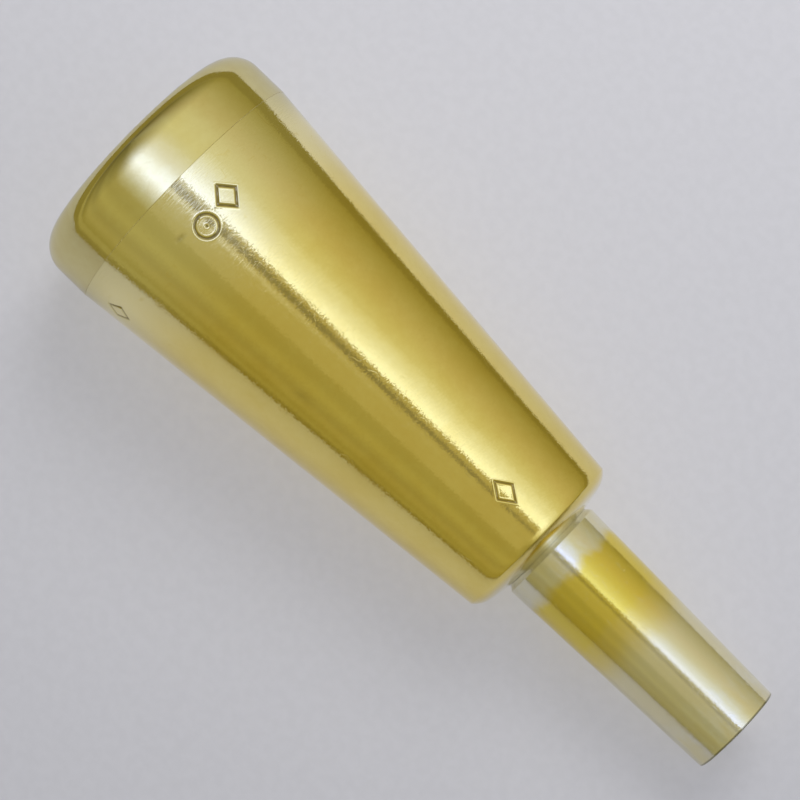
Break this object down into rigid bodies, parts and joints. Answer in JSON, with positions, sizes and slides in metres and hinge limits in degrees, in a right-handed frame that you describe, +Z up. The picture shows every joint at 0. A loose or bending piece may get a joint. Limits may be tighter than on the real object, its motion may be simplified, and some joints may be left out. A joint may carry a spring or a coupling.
{
  "type": "brass instrument mouthpiece",
  "caption": "Trumpet-type mouthpiece that comes apart: polished screw rim, straight conical cup body, threaded backbore and thin tapered shank sleeve.",
  "frame": {"origin": "on the bore axis at the shank's open end, the end that goes into an instrument's receiver", "axes": "+X along the bore from the rim to the shank's open end, +Z up as the mouthpiece is held level for playing"},
  "size_m": [0.0807, 0.0274, 0.0274],
  "materials": {
    "rim_gold": "brass with polished gold plate",
    "body_gold": "brass with gold plate over fine turning lines",
    "backbore_silver": "brass with silver plate, tarnished inside",
    "sleeve_silver": "brass with silver plate, worn to a gold tint in patches"
  },
  "bodies": {
    "cup_body": {"cup_body": "body_gold"},
    "rim": {"rim": "rim_gold"},
    "backbore": {"backbore": "backbore_silver"},
    "shank_sleeve": {"shank_sleeve": "sleeve_silver"}
  },
  "joints": [
    {"name": "rim_unscrew", "type": "slide", "parent": "cup_body", "child": "rim", "axis": [-1, 0, 0], "range_m": [0, 0.012]},
    {"name": "backbore_unscrew", "type": "slide", "parent": "cup_body", "child": "backbore", "axis": [1, 0, 0], "range_m": [0, 0.038]},
    {"name": "sleeve_draw_off", "type": "slide", "parent": "backbore", "child": "shank_sleeve", "axis": [1, 0, 0], "range_m": [0, 0.03]}
  ]
}
